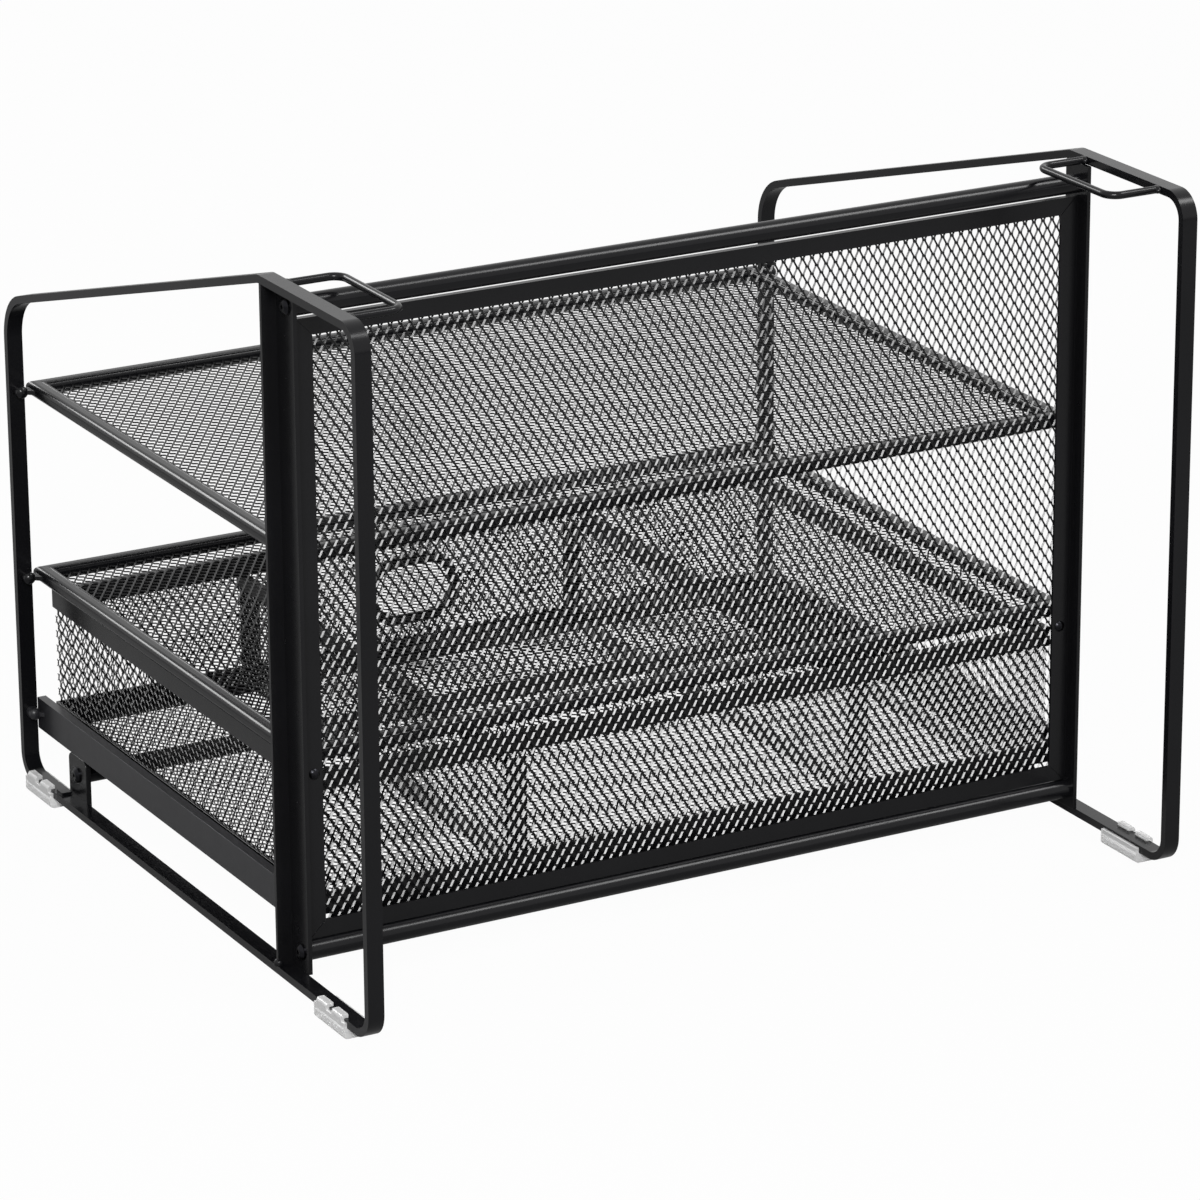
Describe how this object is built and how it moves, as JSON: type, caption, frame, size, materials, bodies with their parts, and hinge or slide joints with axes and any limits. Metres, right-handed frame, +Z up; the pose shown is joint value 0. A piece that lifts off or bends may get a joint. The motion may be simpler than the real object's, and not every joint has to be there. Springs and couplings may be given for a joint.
{
  "type": "desk sorter with drawer",
  "caption": "Desk sorter of black expanded metal: open letter trays over a sliding drawer with dividers and an upright bay behind, between bent flat-bar side loops on clear clip-on feet.",
  "frame": {"origin": "on the floor under the middle of the sorter, halfway between the outermost points in X and in Y", "axes": "+Z up, -Y the front, where the trays and the drawer open, +X to the left as seen in the picture, along the sorter's width"},
  "size_m": [0.3328, 0.2948, 0.257],
  "materials": {
    "powder_coat_black": "satin powder coat",
    "mesh_coat_black": "satin powder coat",
    "runner_coat_grey": "satin",
    "screw_black_oxide": "black oxide",
    "foot_clear_plastic": "clear, gloss"
  },
  "bodies": {
    "frame": {"left_side_loop": "powder_coat_black", "right_side_loop": "powder_coat_black", "left_post": "powder_coat_black", "right_post": "powder_coat_black", "left_wire": "powder_coat_black", "right_wire": "powder_coat_black", "top_tube": "powder_coat_black", "rear_tube": "powder_coat_black", "front_tube": "powder_coat_black", "left_tab": "powder_coat_black", "right_tab": "powder_coat_black", "panel_frame": "powder_coat_black", "panel_mesh": "mesh_coat_black", "panel_rivets": "screw_black_oxide", "lower_tray_frame": "powder_coat_black", "lower_tray_mesh": "mesh_coat_black", "upper_tray_frame": "powder_coat_black", "upper_tray_mesh": "mesh_coat_black", "left_runner": "runner_coat_grey", "right_runner": "runner_coat_grey", "front_screws": "screw_black_oxide", "post_screws": "screw_black_oxide", "tab_screws": "screw_black_oxide", "front_left_foot": "foot_clear_plastic", "rear_left_foot": "foot_clear_plastic", "front_right_foot": "foot_clear_plastic", "rear_right_foot": "foot_clear_plastic"},
    "drawer": {"drawer_rim": "powder_coat_black", "drawer_base": "powder_coat_black", "drawer_front_mesh": "mesh_coat_black", "drawer_rear_mesh": "mesh_coat_black", "drawer_left_mesh": "mesh_coat_black", "drawer_right_mesh": "mesh_coat_black", "drawer_floor_mesh": "mesh_coat_black", "finger_ring": "powder_coat_black", "left_divider_frame": "powder_coat_black", "left_divider_mesh": "mesh_coat_black", "right_divider_frame": "powder_coat_black", "right_divider_mesh": "mesh_coat_black"}
  },
  "joints": [
    {"name": "drawer_slide", "type": "slide", "parent": "frame", "child": "drawer", "axis": [0, -1, 0], "range_m": [0, 0.165]}
  ]
}
